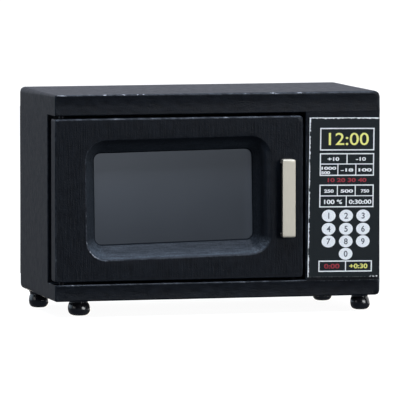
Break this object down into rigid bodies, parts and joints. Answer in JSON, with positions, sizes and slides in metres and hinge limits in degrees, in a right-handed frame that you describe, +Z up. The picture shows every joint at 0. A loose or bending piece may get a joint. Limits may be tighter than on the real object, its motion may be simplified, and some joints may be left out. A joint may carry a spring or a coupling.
{
  "type": "dollhouse microwave oven",
  "caption": "Miniature wooden microwave oven in black paint: cabinet on bead feet, left-hinged door with grey window and metal handle, printed control panel.",
  "frame": {"origin": "on the surface that the feet stand on, under the middle of the whole object, its handle included", "axes": "+X to the right as seen from the front, +Y from the front to the back, +Z up"},
  "size_m": [0.05, 0.0256, 0.0331],
  "materials": {
    "black_paint": "satin black paint on wood, edges rubbed",
    "printed_card": "dark printed card with pale lines",
    "grey_window": "smoky grey plastic sheet",
    "handle_metal": "satin",
    "pin_metal": "plain wire",
    "black_bead": "glossy black"
  },
  "bodies": {
    "cabinet": {"top_board": "black_paint", "bottom_board": "black_paint", "left_side": "black_paint", "right_side": "black_paint", "back_board": "black_paint", "partition": "black_paint", "control_front": "black_paint", "control_label": "printed_card", "upper_hinge_pin": "pin_metal", "lower_hinge_pin": "pin_metal", "foot_front_left": "black_bead", "foot_front_right": "black_bead", "foot_back_left": "black_bead", "foot_back_right": "black_bead"},
    "door": {"door_board": "black_paint", "window_pane": "grey_window", "door_handle": "handle_metal"}
  },
  "joints": [
    {"name": "door_hinge", "type": "hinge", "parent": "cabinet", "child": "door", "pos_m": [-0.0237, -0.01005, 0.0176], "axis": [0, 0, -1], "range_deg": [0, 180]}
  ]
}
